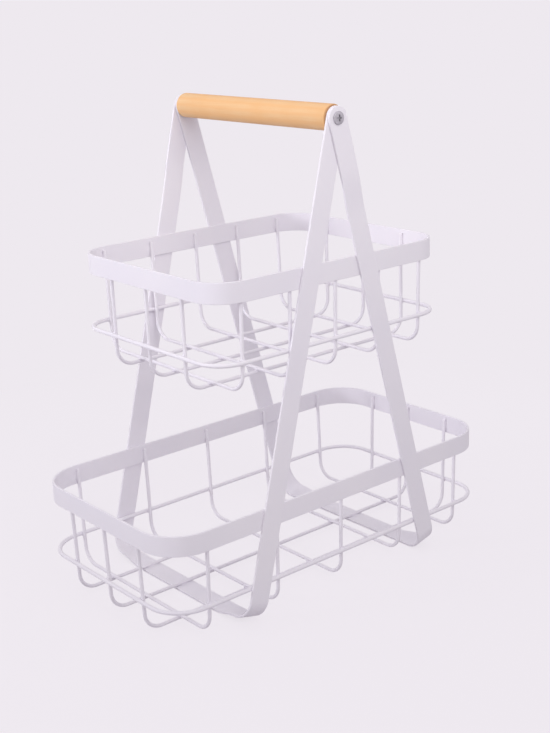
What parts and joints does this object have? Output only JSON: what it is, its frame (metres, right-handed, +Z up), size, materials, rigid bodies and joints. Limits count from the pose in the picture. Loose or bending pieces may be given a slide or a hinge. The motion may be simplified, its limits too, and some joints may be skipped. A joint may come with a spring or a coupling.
{
  "type": "tiered wire tray",
  "caption": "Free-standing tiered tray: round-cornered wire baskets, the upper one shorter, welded between crossing flat-bar straps that meet at a turning wooden carrying handle.",
  "frame": {"origin": "on the table, under the middle of the handle", "axes": "+Z up, +X along the baskets' length, +Y along the handle from its front end to its back end"},
  "size_m": [0.35, 0.2016, 0.3968],
  "materials": {
    "coated_steel": "white powder coat, satin, on bar and wire",
    "wood": "pale honey wood, turned smooth and oiled",
    "screw_steel": "dull grey steel"
  },
  "bodies": {
    "frame": {"frame_strap_left": "coated_steel", "frame_strap_right": "coated_steel", "lower_rim": "coated_steel", "lower_cross_wire_1": "coated_steel", "lower_cross_wire_2": "coated_steel", "lower_cross_wire_3": "coated_steel", "lower_cross_wire_4": "coated_steel", "lower_cross_wire_5": "coated_steel", "lower_long_wire_1": "coated_steel", "lower_long_wire_2": "coated_steel", "lower_long_wire_3": "coated_steel", "lower_ring_wire": "coated_steel", "upper_rim": "coated_steel", "upper_cross_wire_1": "coated_steel", "upper_cross_wire_2": "coated_steel", "upper_cross_wire_3": "coated_steel", "upper_cross_wire_4": "coated_steel", "upper_cross_wire_5": "coated_steel", "upper_long_wire_1": "coated_steel", "upper_long_wire_2": "coated_steel", "upper_long_wire_3": "coated_steel", "upper_ring_wire": "coated_steel"},
    "handle": {"handle_grip": "wood", "handle_screw_front": "screw_steel", "handle_screw_back": "screw_steel"}
  },
  "joints": [
    {"name": "handle_turn", "type": "hinge", "parent": "frame", "child": "handle", "pos_m": [0, 0, 0.38655], "axis": [0, 1, 0], "continuous": true}
  ]
}
